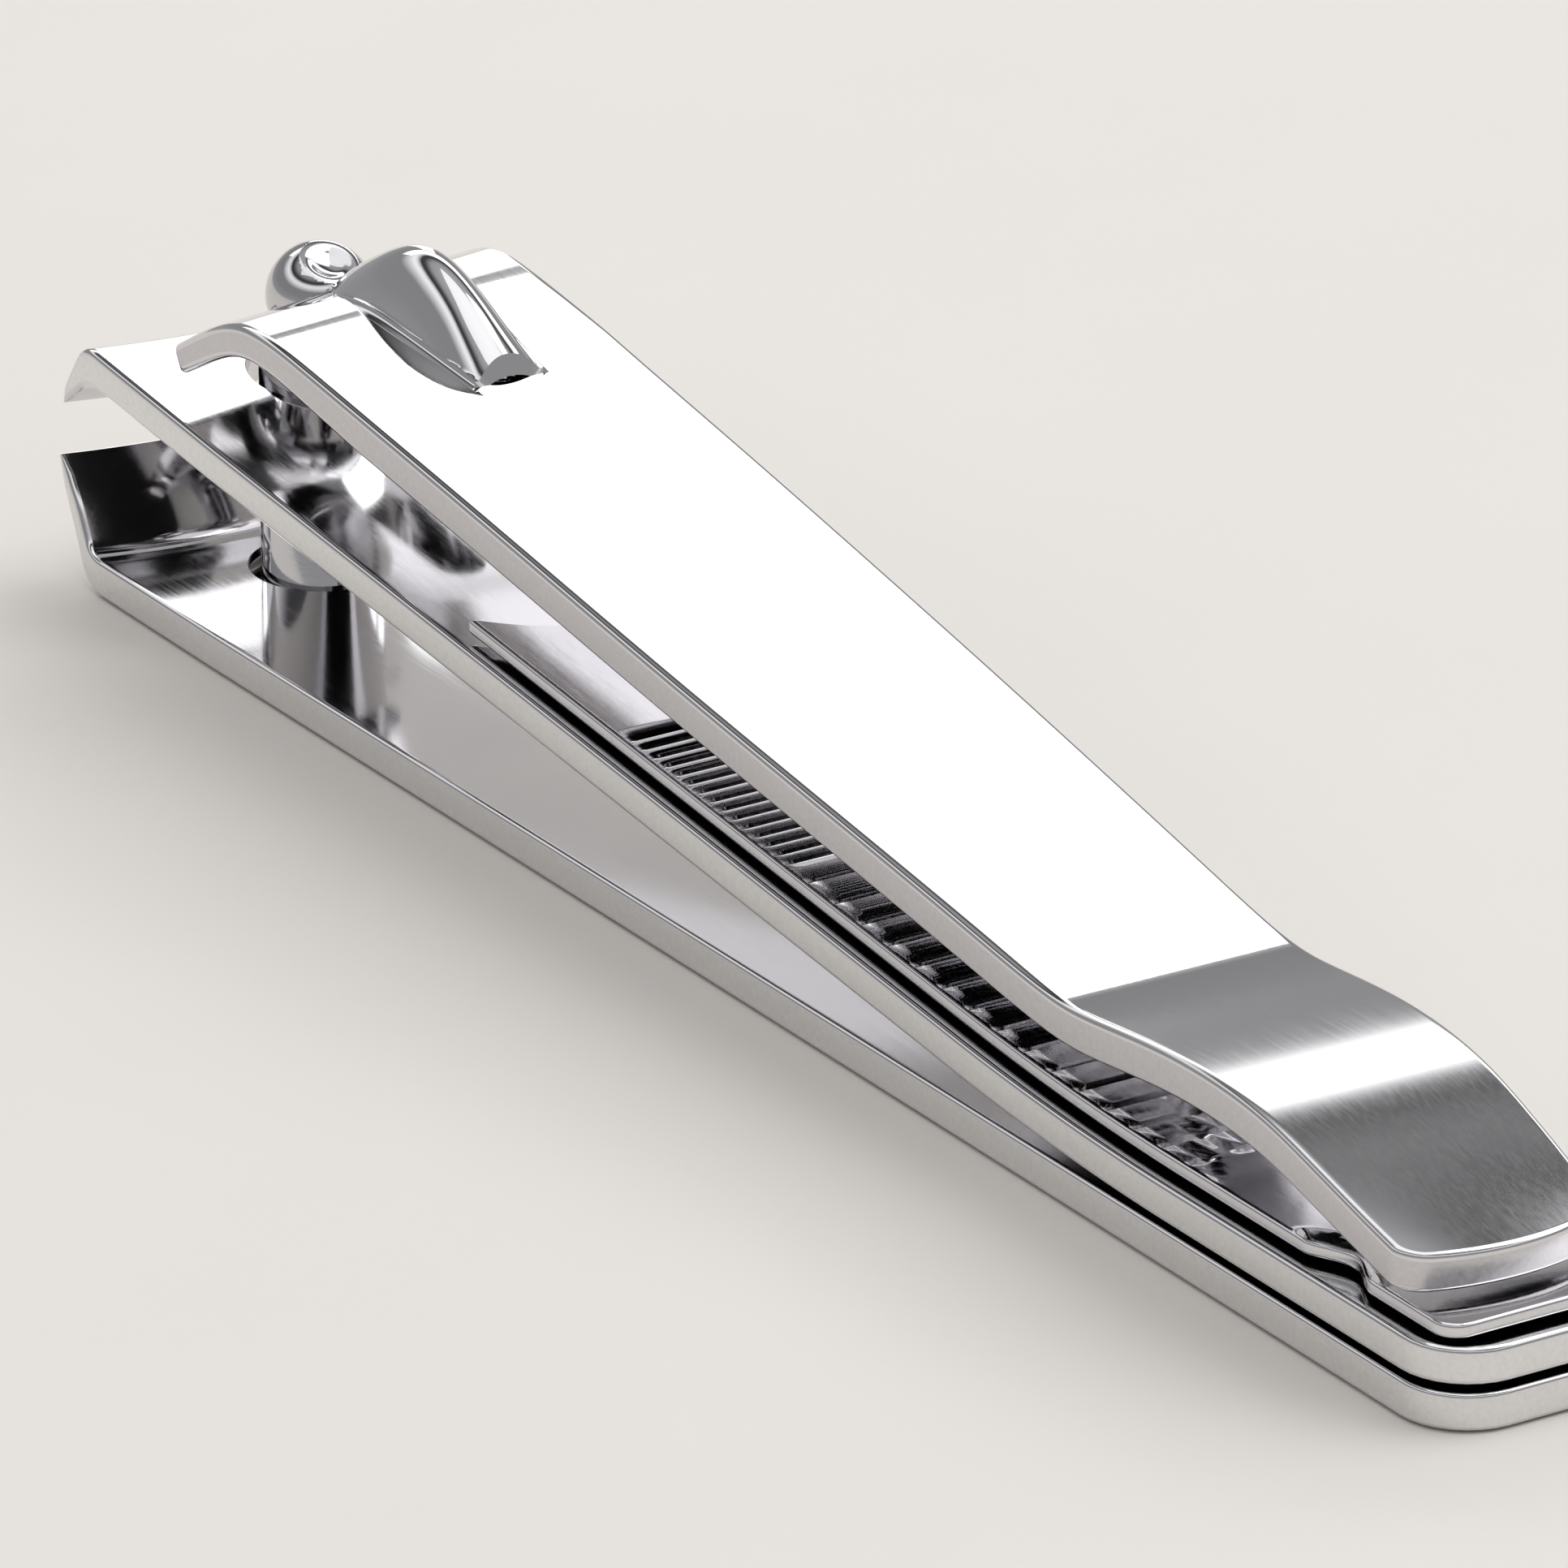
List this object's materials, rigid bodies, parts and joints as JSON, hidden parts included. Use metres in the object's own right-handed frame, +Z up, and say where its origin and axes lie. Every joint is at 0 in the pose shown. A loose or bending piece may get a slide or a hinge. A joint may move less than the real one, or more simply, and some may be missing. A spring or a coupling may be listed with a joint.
{
  "type": "nail clipper",
  "caption": "Lever nail clipper in its storage position, with two spring leaves, a round pin, a lever with a fulcrum arch and a nail file that swings out.",
  "frame": {"origin": "middle of the bounding box at its bottom, on the flat underside of the lower leaf", "axes": "+X from the cutting edges to the rear end, +Z up through the leaves, +Y across; the file swings out towards -Y"},
  "size_m": [0.0806, 0.0126, 0.0144],
  "materials": {
    "leaf_steel": "polished",
    "lever_steel": "mirror polished",
    "pin_steel": "turned and polished",
    "file_steel": "pressed cuts, satin"
  },
  "bodies": {
    "root": {"lower_leaf": "leaf_steel", "tie_rivet": "pin_steel"},
    "upper": {"upper_leaf": "leaf_steel", "file_rivet": "pin_steel"},
    "file": {"nail_file": "file_steel"},
    "post": {"pin": "pin_steel"},
    "lever": {"lever": "lever_steel"}
  },
  "joints": [
    {"name": "squeeze", "type": "hinge", "parent": "root", "child": "upper", "pos_m": [0.031, 0, 0.0014], "axis": [0, -1, 0], "range_deg": [0, 1.5], "stiffness_Nm_per_rad": 2, "springref_deg": -3.44},
    {"name": "file_swing", "type": "hinge", "parent": "upper", "child": "file", "pos_m": [0.035, 0, 0.003], "axis": [0, 0, 1], "range_deg": [0, 180]},
    {"name": "pin_spin", "type": "hinge", "parent": "root", "child": "post", "pos_m": [-0.03383, 0, 0], "axis": [0, 0, 1], "continuous": true},
    {"name": "lever_flip", "type": "hinge", "parent": "post", "child": "lever", "pos_m": [-0.03383, 0, 0.00965], "axis": [-0.0227, -0.9997, 0], "range_deg": [0, 135]}
  ]
}
